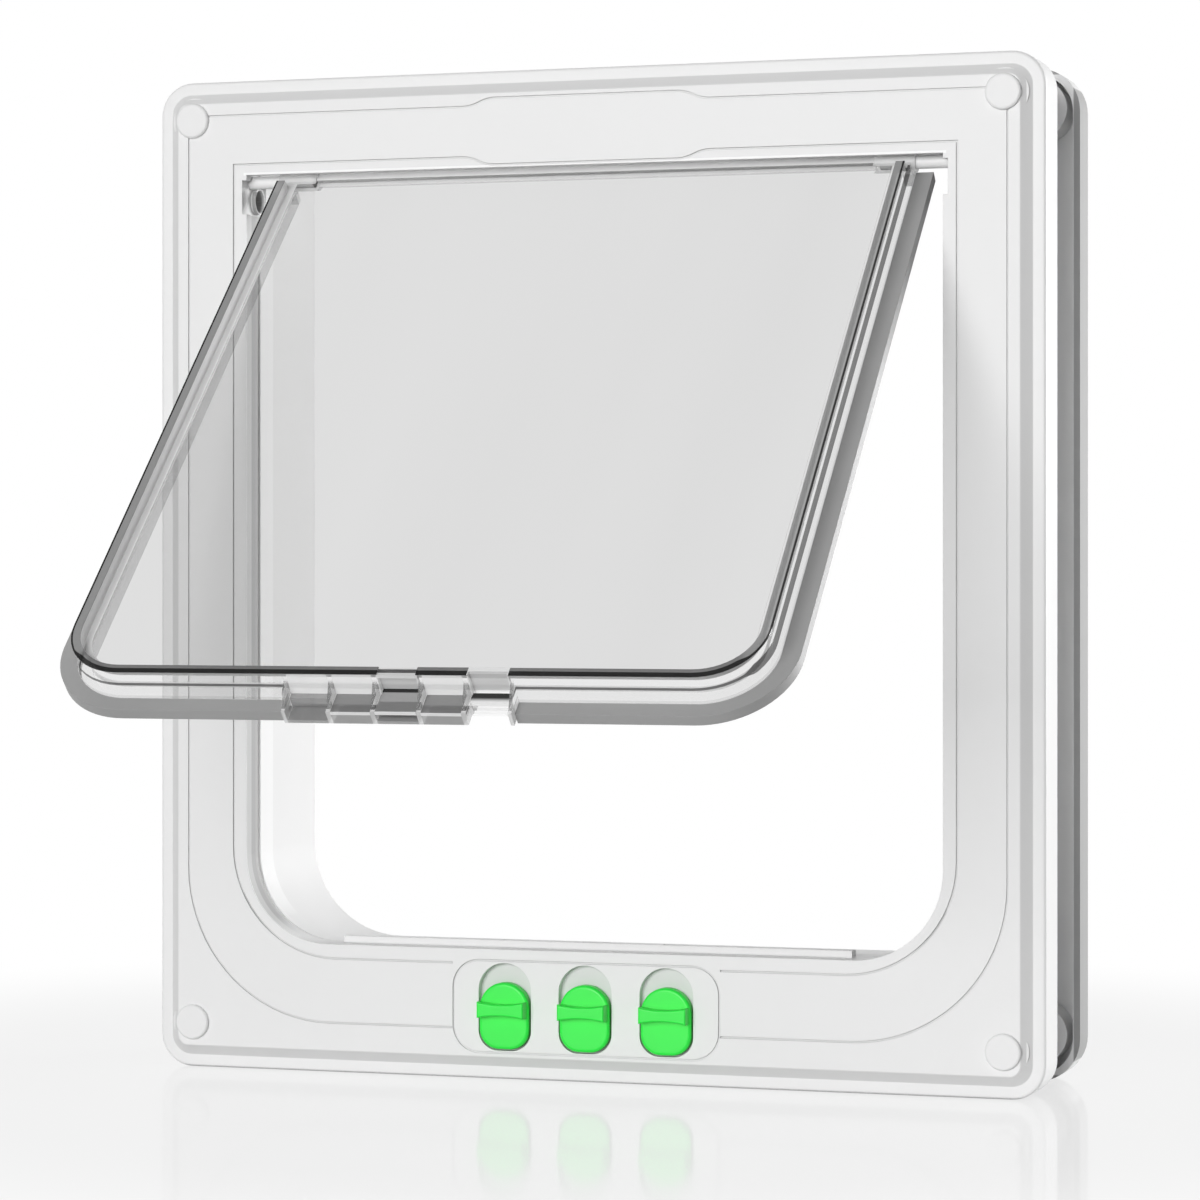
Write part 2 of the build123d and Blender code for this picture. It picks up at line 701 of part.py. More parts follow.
# Lock buttons and the bolts they drive
buttons = {}
bolts = {}
for lock_name, x in zip(("left", "centre", "right"), lock_x):
    with BuildPart() as button:
        with BuildSketch(Plane.XZ.offset(button_face)) as button_sketch:
            arched(button_sketch, x, button_width, bottom_z + button_low, bottom_z + button_high, slot_corner)
        extrude(amount=button_back - button_face)
        fillet(button.faces().sort_by(Axis.Y)[0].edges(), button_round)
        with BuildSketch(Plane.XZ.offset(button_face)):
            with BuildLine(Location((x, bottom_z + grip_level))):
                ThreePointArc(
                    (-grip_width / 2, grip_height / 2),
                    (0, grip_waist / 2),
                    (grip_width / 2, grip_height / 2),
                )
                Line((grip_width / 2, grip_height / 2), (grip_width / 2, -grip_height / 2))
                ThreePointArc(
                    (grip_width / 2, -grip_height / 2),
                    (0, -grip_waist / 2),
                    (-grip_width / 2, -grip_height / 2),
                )
                Line((-grip_width / 2, -grip_height / 2), (-grip_width / 2, grip_height / 2))
            make_face()
        extrude(amount=grip_proud)
        fillet(button.faces().sort_by(Axis.Y)[0].edges(), grip_round)
        with BuildSketch(Plane.XZ.offset(button_back)):
            with Locations((x, bottom_z + stem_low + stem_height / 2)):
                Rectangle(stem_width, stem_height)
        extrude(amount=plate_front - stem_depth - button_back)
    button.part.label = "lock_button_" + lock_name
    buttons[lock_name] = button.part
    with BuildPart() as bolt:
        with BuildSketch(Plane.XZ.offset(plate_front)):
            with Locations((x, bottom_z + (bolt_low + bolt_shoulder) / 2)):
                Rectangle(bolt_plate_width, bolt_shoulder - bolt_low)
        extrude(amount=-bolt_plate_thickness)
        with BuildSketch(Plane.XZ.offset(plate_back)):
            with Locations((x, bottom_z + (bolt_low + bolt_shoulder) / 2)):
                Rectangle(bolt_width, bolt_shoulder - bolt_low)
        extrude(amount=bolt_back - plate_back)
        with BuildSketch(Plane.XZ.offset(bolt_front)):
            with Locations((x, (bottom_z + bolt_low + bolt_tip_z) / 2)):
                Rectangle(bolt_width, bolt_tip_z - bottom_z - bolt_low)
        extrude(amount=-bolt_thickness)
        with BuildSketch(Plane.XZ.offset(plate_front)):
            with Locations((x, bottom_z + stem_low + stem_height / 2)):
                Rectangle(stem_width + 2 * stem_fit_gap, stem_height + 2 * stem_fit_gap)
        extrude(amount=-stem_depth, mode=Mode.SUBTRACT)
    bolt.part.label = "lock_bolt_" + lock_name
    bolts[lock_name] = bolt.part

# Cover behind the bolts
with BuildPart() as lock_cover:
    with BuildSketch(Plane.XZ.offset(cover_front)):
        with Locations((0, bottom_z + (cover_low + cover_high) / 2)):
            RectangleRounded(2 * cover_half, cover_high - cover_low, cover_corner)
    extrude(amount=-cover_thickness)
    with BuildSketch(Plane.XZ.offset(cover_front)):
        with Locations(*[(x, bottom_z + (guide_low + guide_high) / 2) for x in guide_x]):
            Rectangle(guide_width, guide_high - guide_low)
    extrude(amount=floor_back - guide_floor_gap - cover_front)
    with BuildSketch(Plane.XZ.offset(cover_front)):
        with Locations(*cover_screw_spots):
            Circle(cover_screw_diameter / 2 + screw_hole_clearance)
    extrude(amount=-cover_thickness, mode=Mode.SUBTRACT)
lock_cover.part.label = "lock_cover"

# Screws of the cover, slotted
with BuildPart() as lock_cover_screws:
    with BuildSketch(Plane.XZ.offset(cover_back)):
        with Locations(*cover_screw_spots):
            Circle(cover_screw_diameter / 2)
    extrude(amount=cover_screw_length)
    with BuildSketch(Plane.XZ.offset(cover_back)):
        with Locations(*cover_screw_spots):
            Circle(cover_screw_head / 2)
    extrude(amount=-cover_screw_head_height)
    with BuildSketch(Plane.XZ.offset(cover_back - cover_screw_head_height)):
        with Locations(*cover_screw_spots):
            Rectangle(cover_screw_head, cover_slot_width)
    extrude(amount=cover_slot_depth, mode=Mode.SUBTRACT)
lock_cover_screws.part.label = "lock_cover_screws"

# Caps over the frame screws
caps = {}
cap_names = ("top_left", "top_right", "bottom_left", "bottom_right")
for cap_name, spot in zip(cap_names, screw_spots):
    with BuildPart() as cap:
        with BuildSketch(Plane.XZ.offset(panel_front)):
            with Locations(spot):
                Circle(cap_diameter / 2)
        extrude(amount=cap_height)
        fillet(cap.faces().sort_by(Axis.Y)[0].edges(), cap_round)
        with BuildSketch(Plane.XZ.offset(panel_front)):
            with Locations(spot):
                Circle(head_recess_diameter / 2 - plug_clearance)
        extrude(amount=-plug_length)
    cap.part.label = "screw_cap_" + cap_name
    caps[cap_name] = cap.part

# Frame screws with a cross recess
with BuildPart() as frame_screws:
    with BuildSketch(Plane.XZ.offset(head_seat)):
        with Locations(*screw_spots):
            Circle(screw_diameter / 2)
    extrude(amount=-(head_seat + screw_tip))
    with BuildSketch(Plane.XZ.offset(head_seat)):
        with Locations(*screw_spots):
            Circle(screw_head_diameter / 2)
    extrude(amount=screw_head_height)
    with BuildSketch(Plane.XZ.offset(head_seat + screw_head_height)):
        with Locations(*screw_spots):
            Rectangle(screw_cross_length, screw_cross_width)
            Rectangle(screw_cross_width, screw_cross_length)
    extrude(amount=-screw_cross_depth, mode=Mode.SUBTRACT)
frame_screws.part.label = "frame_screws"

os.makedirs("parts", exist_ok=True)
export_step(front_frame.part, "parts/front_frame.step")
export_step(rear_frame.part, "parts/rear_frame.step")
export_step(flap.part, "parts/flap.step")
export_step(lock_cover.part, "parts/lock_cover.step")
export_step(lock_cover_screws.part, "parts/lock_cover_screws.step")
export_step(frame_screws.part, "parts/frame_screws.step")
for side_name in seals:
    export_step(seals[side_name], "parts/flap_seal_" + side_name + ".step")
    export_step(pins[side_name], "parts/pivot_pin_" + side_name + ".step")
for lock_name in buttons:
    export_step(buttons[lock_name], "parts/lock_button_" + lock_name + ".step")
    export_step(bolts[lock_name], "parts/lock_bolt_" + lock_name + ".step")
for cap_name in caps:
    export_step(caps[cap_name], "parts/screw_cap_" + cap_name + ".step")
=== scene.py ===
import json
import math
import bmesh
import bpy
from mathutils import Matrix, Vector


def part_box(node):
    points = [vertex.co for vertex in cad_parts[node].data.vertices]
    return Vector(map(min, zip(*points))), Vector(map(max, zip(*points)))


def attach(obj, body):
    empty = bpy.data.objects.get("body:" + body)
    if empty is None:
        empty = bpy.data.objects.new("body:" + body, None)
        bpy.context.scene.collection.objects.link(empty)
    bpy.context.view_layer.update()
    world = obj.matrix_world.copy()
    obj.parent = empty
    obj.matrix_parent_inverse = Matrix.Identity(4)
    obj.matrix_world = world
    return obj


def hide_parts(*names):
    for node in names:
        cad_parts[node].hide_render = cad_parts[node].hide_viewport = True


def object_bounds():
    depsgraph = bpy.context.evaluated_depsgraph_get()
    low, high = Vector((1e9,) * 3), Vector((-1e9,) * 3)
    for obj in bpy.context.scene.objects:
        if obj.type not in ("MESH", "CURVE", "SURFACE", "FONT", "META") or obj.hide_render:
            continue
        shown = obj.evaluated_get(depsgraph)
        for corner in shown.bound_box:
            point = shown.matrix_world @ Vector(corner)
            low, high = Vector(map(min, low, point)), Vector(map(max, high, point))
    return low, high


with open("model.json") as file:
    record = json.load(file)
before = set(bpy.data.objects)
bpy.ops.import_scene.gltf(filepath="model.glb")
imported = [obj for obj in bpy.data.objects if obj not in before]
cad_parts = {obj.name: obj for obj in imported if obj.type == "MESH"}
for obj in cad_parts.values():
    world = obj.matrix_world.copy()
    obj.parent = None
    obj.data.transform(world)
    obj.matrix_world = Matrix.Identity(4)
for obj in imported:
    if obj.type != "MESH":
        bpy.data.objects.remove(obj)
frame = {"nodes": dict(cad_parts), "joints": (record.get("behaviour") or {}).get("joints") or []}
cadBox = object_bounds()
nodes = frame["nodes"]
swing = [joint for joint in frame["joints"] if joint["name"] == "flap_swing"][0]
print("frame loaded:", len(nodes), "nodes")


# Shader numbers as Python values: an expression on Fields adds the Math nodes
class Field:
    def __init__(self, tree, socket):
        self.tree = tree
        self.socket = socket

    # Any node: its settings first, then the values or links of its sockets
    def node(self, kind, settings, sockets, out=0):
        made = self.tree.nodes.new(kind)
        for name, value in settings.items():
            setattr(made, name, value)
        for name, value in sockets.items():
            if isinstance(value, Field):
                self.tree.links.new(value.socket, made.inputs[name])
            else:
                made.inputs[name].default_value = value
        return Field(self.tree, made.outputs[out])

    def math(self, operation, *items):
        return self.node("ShaderNodeMath", {"operation": operation}, dict(enumerate(items)))

    def __add__(self, other):
        return self.math("ADD", self, other)

    def __radd__(self, other):
        return self.math("ADD", other, self)

    def __sub__(self, other):
        return self.math("SUBTRACT", self, other)

    def __rsub__(self, other):
        return self.math("SUBTRACT", other, self)

    def __mul__(self, other):
        return self.math("MULTIPLY", self, other)

    def __rmul__(self, other):
        return self.math("MULTIPLY", other, self)

    def __pow__(self, other):
        return self.math("POWER", self, other)

    def __rpow__(self, other):
        return self.math("POWER", other, self)

    def __neg__(self):
        return self.math("SUBTRACT", 0.0, self)

    def __abs__(self):
        return self.math("ABSOLUTE", self)

    def over(self, other):
        return self.math("MAXIMUM", self, other)

    def under(self, other):
        return self.math("MINIMUM", self, other)

    # 0 below low, 1 above high, eased between
    def step(self, low, high):
        sockets = {"Value": self, "From Min": low, "From Max": high}
        return self.node("ShaderNodeMapRange", {"interpolation_type": "SMOOTHSTEP"}, sockets)

    # 1 between low and high with soft edges
    def band(self, low, high, soft):
        return self.step(low - soft, low + soft) * (1 - self.step(high - soft, high + soft))

    # From first at 0 to second at 1
    def between(self, first, second):
        return self * (second - first) + first


# Colour blend of two colours or colour Fields by a factor Field
def blend(factor, first, second):
    settings = {"data_type": "RGBA"}
    return factor.node("ShaderNodeMix", settings, {0: factor, 6: first, 7: second}, out=2)


def grey(level):
    return (level, level, level, 1.0)


# A material with its Principled shader, and a Field for Object coordinates
def newFinish(name):
    finish = bpy.data.materials.new(name)
    finish.use_nodes = True
    tree = finish.node_tree
    coords = tree.nodes.new("ShaderNodeTexCoord")
    return finish, tree.nodes["Principled BSDF"], Field(tree, coords.outputs["Object"])


# The three coordinates of a position Field
def split(place):
    first = place.node("ShaderNodeSeparateXYZ", {}, {0: place})
    return [Field(place.tree, socket) for socket in first.socket.node.outputs]


def noise(place, scale, detail):
    sockets = {"Vector": place, "Scale": scale, "Detail": detail}
    return place.node("ShaderNodeTexNoise", {}, sockets)


def feed(shader, socketName, value):
    shader.id_data.links.new(value.socket, shader.inputs[socketName])


# What all moulded surfaces share
surfaceLook = {
    "grainDepth": 0.0001,
    "edgeSamples": 4,
    "creviceSamples": 8,
    "creviceSpan": (0.15, 0.75),
}


# Fine grain over softly rounded edges
def grainNormal(grain, look):
    settings = {"samples": surfaceLook["edgeSamples"]}
    sockets = {
        "Height": grain,
        "Strength": look["grainStrength"],
        "Distance": surfaceLook["grainDepth"],
        "Normal": grain.node("ShaderNodeBevel", settings, {"Radius": look["edgeRadius"]}),
    }
    return grain.node("ShaderNodeBump", {}, sockets)


# Mask for painted shade in corners and crevices: 0 deep in a corner, 1 on open faces
def paintedCreviceShade(place, reach):
    settings = {"samples": surfaceLook["creviceSamples"]}
    shade = place.node("ShaderNodeAmbientOcclusion", settings, {"Distance": reach}, out=1)
    return shade.step(*surfaceLook["creviceSpan"])


# White moulded plastic: near white with faint flow marks, painted shade in its crevices and a very fine
# grain
whiteLook = {
    "bright": grey(0.86),
    "dull": grey(0.83),
    "paintedCreviceShade": grey(0.56),
    "creviceReach": 0.0012,
    "flowScale": 14.0,
    "flowDetail": 3.0,
    "grainScale": 2600.0,
    "grainDetail": 1.0,
    "grainStrength": 0.05,
    "edgeRadius": 0.0002,
    "rough": 0.26,
    "roughSpan": 0.10,
    "refraction": 1.47,
    "specular": 0.15,
}

# Green plastic of the lock buttons, with painted shade in its crevices
greenLook = {
    "bright": (0.012, 0.87, 0.055, 1.0),
    "dull": (0.010, 0.81, 0.046, 1.0),
    "paintedCreviceShade": (0.018, 0.50, 0.040, 1.0),
    "creviceReach": 0.0014,
    "flowScale": 90.0,
    "flowDetail": 2.0,
    "grainScale": 2200.0,
    "grainDetail": 1.0,
    "grainStrength": 0.06,
    "edgeRadius": 0.0003,
    "rough": 0.34,
    "roughSpan": 0.08,
    "refraction": 1.50,
    "specular": 0.50,
}


# Moulded plastic: two tones in slow flow marks, painted shade in crevices, then a piece's own painted shade
# and light
def mouldedPlastic(name, look, shade=None):
    finish, shader, place = newFinish(name)
    flow = noise(place, look["flowScale"], look["flowDetail"])
    grain = noise(place, look["grainScale"], look["grainDetail"])
    colour = blend(flow, look["dull"], look["bright"])
    # Painted shade: darker colour deep in corners and crevices
    colour = blend(paintedCreviceShade(place, look["creviceReach"]), look["paintedCreviceShade"], colour)
    if shade:
        colour = shade(place, colour)
    feed(shader, "Base Color", colour)
    feed(shader, "Roughness", flow * look["roughSpan"] + look["rough"])
    feed(shader, "Normal", grainNormal(grain, look))
    shader.inputs["IOR"].default_value = look["refraction"]
    shader.inputs["Specular IOR Level"].default_value = look["specular"]
    return finish


# Front frame's painted shade and painted light: shares of the white and plain tones, with their places in
# metres
frontLook = {
    "seatShadeShares": (0.66, 0.50, 0.57, 1.10),  # from the front to the back of the strip
    "seatLines": (-0.0113, -0.0087, -0.0072),
    "seatDepth": (-0.0154, -0.0064),
    "seatFoot": (-0.0960, -0.0900),
    "seatTop": (0.0930, 0.0932),
    "passageSide": (0.0907, 0.0909),
    "sleeveLightTone": 0.92,
    "sleeveFrom": (-0.0064, -0.0062),
    "sleeveSides": (0.0830, 0.0907),
    "sleeveHeight": (-0.0900, 0.0930),
    "sleeveFade": 0.003,
    "bevelShadeShare": 0.88,
    "bevelDepth": (-0.0155, -0.0134),
    "bevelSide": (0.1030, 0.1035),
    "bevelEnd": (0.1135, 0.1140),
    "lipHighlightTone": 0.98,
    "lipHeight": (0.0967, 0.0974),
    "lipFront": (-0.0157, -0.0155),
    "boreShadeTone": 0.10,
    "boreAt": (-0.0069, 0.0908),
    "boreEdge": (0.00285, 0.00295),
    "boreSides": (0.0907, 0.1000),
    "recessShadeShare": 0.82,
    "recessDepth": (-0.0142, -0.0132),
    "recessHeight": (-0.1180, -0.0960),
    "recessSide": (0.0300, 0.0302),
    "hairline": 0.00005,
    "thin": 0.0001,
    "soft": 0.0002,
    "wide": 0.0004,
}


# Painted shade on the seat strip, bevel, socket bores and button recesses; painted light on the sleeve and
# lip
def frontPaintedShadeAndLight(place, colour):
    look = frontLook
    white = whiteLook["bright"][0]
    soft = look["soft"]
    x, y, z = split(place)
    aside = abs(x)
    inPassage = 1 - aside.step(*look["passageSide"])
    # Painted shade on the strip where the flap's seal rests, with painted light at its back end
    strip = y.band(*look["seatDepth"], look["thin"]) * z.step(*look["seatFoot"])
    strip = strip * (1 - z.step(*look["seatTop"])) * inPassage
    tones = [grey(white * share) for share in look["seatShadeShares"]]
    tone = tones[0]
    for line, nextTone in zip(look["seatLines"], tones[1:]):
        tone = blend(y.step(line - soft, line + soft), tone, nextTone)
    colour = blend(strip, colour, tone)
    # Painted light: the sleeve behind the strip is whiter than the white plastic
    inSleeve = y.step(*look["sleeveFrom"]) * aside.band(*look["sleeveSides"], soft)
    inSleeve = inSleeve * z.band(*look["sleeveHeight"], look["sleeveFade"])
    colour = blend(inSleeve, colour, grey(look["sleeveLightTone"]))
    # Painted shade on the slope of the panel bevel
    middleHeight = (cadBox[0][2] + cadBox[1][2]) / 2
    nearEdge = aside.step(*look["bevelSide"]).over(abs(z - middleHeight).step(*look["bevelEnd"]))
    bevel = nearEdge * y.band(*look["bevelDepth"], look["thin"])
    colour = blend(bevel, colour, grey(white * look["bevelShadeShare"]))
    # Painted highlight along the lip's lower edge
    lip = z.band(*look["lipHeight"], look["hairline"]) * (1 - y.step(*look["lipFront"])) * inPassage
    colour = blend(lip, colour, grey(look["lipHighlightTone"]))
    # Painted shade in the hinge pin socket bores
    fromAxis = ((y - look["boreAt"][0]) ** 2.0 + (z - look["boreAt"][1]) ** 2.0) ** 0.5
    bore = (1 - fromAxis.step(*look["boreEdge"])) * aside.band(*look["boreSides"], look["wide"])
    colour = blend(bore, colour, grey(look["boreShadeTone"]))
    # Painted shade on the floors of the button recesses
    recess = y.band(*look["recessDepth"], look["thin"]) * z.band(*look["recessHeight"], soft)
    recess = recess * (1 - aside.step(*look["recessSide"]))
    return blend(recess, colour, grey(white * look["recessShadeShare"]))


rearLook = {
    "wallShadeShare": 0.40,
    "wallInset": 0.0018,
    "soft": 0.0004,
}


# Painted shade on the thin outer wall of the rear frame, which makes it greyer than its face
def rearPaintedShade(place, colour):
    x, y, z = split(place)
    low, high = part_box("rear_frame")
    inset = rearLook["wallInset"]
    soft = rearLook["soft"]
    sides = abs(x).step(high[0] - inset, high[0] - inset + soft)
    top = z.step(high[2] - inset, high[2] - inset + soft)
    bottom = 1 - z.step(low[2] + inset - soft, low[2] + inset)
    tone = grey(whiteLook["bright"][0] * rearLook["wallShadeShare"])
    # Painted shade on the rear frame's outer wall
    return blend(sides.over(top.over(bottom)), colour, tone)


# The flap's own plane, in mm: down from the hinge axis and forward of it
flapPlane = {
    "openAngle": 46.9,
    "crestHalf": 81.06,
    "crestDown": 181.2,
    "crestCorner": 15.0,
    "sideFrom": (-1.0, 4.0),
    "rightFrom": (-10.0, 0.0),
}


def flapPlaces(place):
    look = flapPlane
    mm = 1000.0
    x, y, z = split(place)
    rightward = x * mm
    across = abs(rightward)
    behind = (y - swing["pos_m"][1]) * mm
    above = (z - swing["pos_m"][2]) * mm
    lean = math.radians(look["openAngle"])
    down = -(behind * math.sin(lean) + above * math.cos(lean))
    forward = above * math.sin(lean) - behind * math.cos(lean)
    # Distance outside the rim's outer edge, rounded at the lower corners
    corner = look["crestCorner"]
    sideways = across - (look["crestHalf"] - corner)
    lower = down - (look["crestDown"] - corner)
    reach = (sideways.over(0.0) ** 2.0 + lower.over(0.0) ** 2.0) ** 0.5
    return {
        "across": across,
        "down": down,
        "forward": forward,
        "outside": reach + sideways.over(lower).under(0.0) - corner,
        "onSide": (sideways - lower).step(*look["sideFrom"]),
        "onRight": rightward.step(*look["rightFrom"]),
    }


# Grey strip round the flap, with painted light where it is seen through the rim
sealLook = {
    "bright": grey(0.40),
    "dull": grey(0.33),
    "paintedLightBehindRim": grey(0.85),
    "rimEdge": (0.68, 0.80),
    "flowScale": 40.0,
    "flowDetail": 4.0,
    "grainScale": 1800.0,
    "grainDetail": 2.0,
    "grainStrength": 0.12,
    "edgeRadius": 0.0002,
    "rough": 0.42,
    "roughSpan": 0.12,
}


def sealGrey():
    look = sealLook
    finish, shader, place = newFinish("sealGrey")
    flow = noise(place, look["flowScale"], look["flowDetail"])
    grain = noise(place, look["grainScale"], look["grainDetail"])
    colour = blend(flow, look["dull"], look["bright"])
    # Painted light on the seal faces behind the clear rim, where little light reaches
    paintedLightBehindRim = 1 - flapPlaces(place)["outside"].step(*look["rimEdge"])
    feed(shader, "Base Color", blend(paintedLightBehindRim, colour, look["paintedLightBehindRim"]))
    feed(shader, "Roughness", grain * look["roughSpan"] + look["rough"])
    feed(shader, "Normal", grainNormal(grain, look))
    return finish


# Plain steel of the screws
steelLook = {
    "bright": (0.56, 0.56, 0.57, 1.0),
    "dark": (0.42, 0.42, 0.43, 1.0),
    "grainScale": 900.0,
    "grainDetail": 3.0,
    "rough": 0.25,
    "roughSpan": 0.2,
}


def plainSteel():
    look = steelLook
    finish, shader, place = newFinish("plainSteel")
    grain = noise(place, look["grainScale"], look["grainDetail"])
    feed(shader, "Base Color", blend(grain, look["dark"], look["bright"]))
    feed(shader, "Roughness", grain * look["roughSpan"] + look["rough"])
    shader.inputs["Metallic"].default_value = 1.0
    return finish


# Clear flap: each tone is a tint and a cover, 0 for fully see-through. Besides the pane's own tint, the
# tones are painted refraction lines, painted highlights and painted shade of the clear plastic.
flapLook = {
    "tones": {
        "pane": (0.04, 0.152),
        "wall": (0.55, 0.10),
        "innerWall": (0.85, 0.75),
        "innerFoot": (0.85, 0.80),
        "rearRim": (0.30, 0.22),
        "crest": (0.17, 0.82),
        "crestSide": (0.30, 0.80),
        "line": (0.045, 0.80),
        "edge": (0.004, 0.97),
        "top": (0.90, 0.80),
        "topLine": (0.36, 0.42),
        "topRear": (0.90, 0.06),
        "barrel": (0.88, 0.55),
        "webTop": (0.20, 0.55),
        "latchWall": (0.92, 0.72),
        "ledge": (0.20, 0.88),
        "greyPocket": (0.27, 0.82),
        "pocketWall": (0.62, 0.80),
        "notchLine": (0.02, 0.75),
        "ledgeUnder": (0.50, 0.75),
        "ledgeFoot": (0.95, 0.90),
        "web": (0.90, 0.62),
        "centreLine": (0.01, 0.97),
        "centreFoot": (0.95, 0.92),
        "openCrest": (0.95, 0.85),
        "openFront": (0.90, 0.08),
        "openStrip": (0.97, 0.94),
        "openBar": (0.01, 0.97),
    },
    # Outside the rim's edge, in mm: where each begins and is full, or from where to where
    "rimFrom": (-2.35, -2.25),
    "wallFrom": (-0.30, -0.10),
    "footSpan": (-4.0, -2.2),
    "webTopFrom": (0.10, 0.30),
    "centreLineOut": (-1.4, -0.2),
    # Forward of the hinge axis
    "crestFrom": (4.41, 4.56),
    "edgeFrom": (4.36, 4.51),
    "footFrom": (0.90, 1.10),
    "rearFrom": (-2.20, -2.00),
    "topRearFrom": (-0.75, -0.65),
    "ledgeFront": (-1.10, -1.00),
    "ledgeFace": (-1.50, -1.40),
    "ledgeFootFrom": (-2.05, -1.95),
    "latchWallSpan": (-1.05, 4.36),
    "pocketWallSpan": (-1.05, 3.90),
    "notchSpan": (3.95, 4.40),
    "centreLineSpan": (-1.25, -0.90),
    "centreFootFrom": (-2.60, -2.50),
    # Down from the hinge axis
    "topFrom": (2.00, 2.10),
    "topLineSpan": (1.60, 2.10),
    "topRearDown": (0.20, 0.30),
    "ledgeFrom": (180.30, 180.50),
    "underFrom": (187.05, 187.15),
    "pocketWallDown": (179.80, 180.40),
    "notchDown": (179.30, 180.40),
    "centreFootDown": (186.75, 186.95),
    "barFrom": (180.90, 181.00),
    "barFade": (182.20, 184.20),
    # Across from the middle, or from the middle of a pocket
    "latchEnd": (26.50, 26.60),
    "lockSpacing": 20.9,
    "pocketEnd": (4.65, 4.75),
    "webSpan": (4.75, 5.85),
    "barrelFrom": (72.10, 72.20),
    "barrelEdge": (3.20, 3.30),
    # Along the lower edge, then along the sides
    "edgeWide": (1.20, 0.45),
    "lineFrom": (0.75, 0.06),
    "lineTo": (1.50, 2.50),
    "edgeSoft": 0.08,
    "soft": 0.10,
    "fine": 0.05,
    "streakStretch": (26.0, 3.0, 3.0),
    "streakScale": 1.0,
    "streakDetail": 2.0,
    "streakCover": 0.03,
    "waveScale": 60.0,
    "waveDetail": 2.0,
    "rough": 0.10,
    "roughSpan": 0.05,
    "refraction": 1.49,
    "specular": 0.1,
}


# Painted refraction lines, highlights and shade on the flap: a later layer lies over the earlier ones
def flapLayers(spots):
    look = flapLook
    soft = look["soft"]
    fine = look["fine"]
    across, down, forward = spots["across"], spots["down"], spots["forward"]
    outside, onSide, onRight = spots["outside"], spots["onSide"], spots["onRight"]

    # Rim with its crest, dark edge and the line along its outer wall, all painted refraction; the line is
    # painted along the lower edge and the right side only
    inRim = spots["inRim"]
    onWall = outside.step(*look["wallFrom"])
    onCrest = forward.step(*look["crestFrom"])
    edge = (outside + onSide.between(*look["edgeWide"])).step(-look["edgeSoft"], look["edgeSoft"])
    overLine = (forward - onSide.between(*look["lineFrom"])).step(-soft, soft)
    pastLine = (forward - onSide.between(*look["lineTo"])).step(-soft, soft)
    inLine = onWall * overLine * (1 - pastLine) * (1 - onSide * (1 - onRight))
    fromAxis = (down ** 2.0 + forward ** 2.0) ** 0.5
    onBarrel = (1 - fromAxis.step(*look["barrelEdge"])) * across.step(*look["barrelFrom"])

    # Latch with its ledge, webs and three pockets, as painted refraction lines, highlights and shade
    acrossLatch = 1 - across.step(*look["latchEnd"])
    onLedge = acrossLatch * down.step(*look["ledgeFrom"]) * (1 - forward.step(*look["ledgeFront"]))
    onFace = onLedge * forward.step(*look["ledgeFace"])
    onUnder = onLedge * down.step(*look["underFrom"])
    fromOuter = abs(across - look["lockSpacing"])
    atWeb = acrossLatch * fromOuter.under(across).band(*look["webSpan"], fine)
    atCentre = 1 - across.step(*look["pocketEnd"])
    atOuter = 1 - fromOuter.step(*look["pocketEnd"])
    atRight = atOuter * onRight
    atLeft = atOuter * (1 - onRight)
    latchWall = forward.band(*look["latchWallSpan"], soft)
    pocketWall = down.band(*look["pocketWallDown"], fine) * forward.band(*look["pocketWallSpan"], soft)
    notchLine = down.band(*look["notchDown"], soft) * forward.band(*look["notchSpan"], fine)
    centreLine = outside.band(*look["centreLineOut"], soft) * forward.band(*look["centreLineSpan"], fine)
    centreFoot = down.step(*look["centreFootDown"]) * forward.step(*look["centreFootFrom"])
    fromBar = down.step(*look["barFrom"])

    return [
        ("wall", onWall),
        ("innerWall", inRim * (1 - onWall)),
        ("innerFoot", outside.band(*look["footSpan"], soft) * forward.step(*look["footFrom"])),
        ("rearRim", inRim * (1 - forward.step(*look["rearFrom"]))),
        ("crest", onCrest),
        ("crestSide", onCrest * onSide),
        ("line", inLine * (1 - acrossLatch)),
        ("edge", edge * forward.step(*look["edgeFrom"])),
        ("top", 1 - down.step(*look["topFrom"])),
        ("topLine", down.band(*look["topLineSpan"], fine) * (1 - inRim)),
        ("topRear", (1 - down.step(*look["topRearDown"])) * (1 - forward.step(*look["topRearFrom"]))),
        ("barrel", onBarrel),
        ("webTop", atWeb * (1 - onLedge) * outside.step(*look["webTopFrom"])),
        ("latchWall", acrossLatch * (1 - atWeb) * onWall * latchWall),
        ("ledge", onLedge),
        ("greyPocket", (atLeft + atCentre) * onLedge),
        ("pocketWall", (atCentre + atRight) * pocketWall),
        ("notchLine", atCentre * notchLine),
        ("ledgeUnder", onUnder),
        ("ledgeFoot", onUnder * forward.step(*look["ledgeFootFrom"])),
        ("web", atWeb * onLedge),
        ("centreLine", atCentre * centreLine),
        ("centreFoot", atCentre * onLedge * centreFoot),
        ("openCrest", atRight * onCrest),
        ("openFront", atRight * onLedge),
        ("openStrip", atRight * onFace * (1 - fromBar)),
        ("openBar", atRight * onFace * fromBar * (1 - down.step(*look["barFade"]))),
    ]


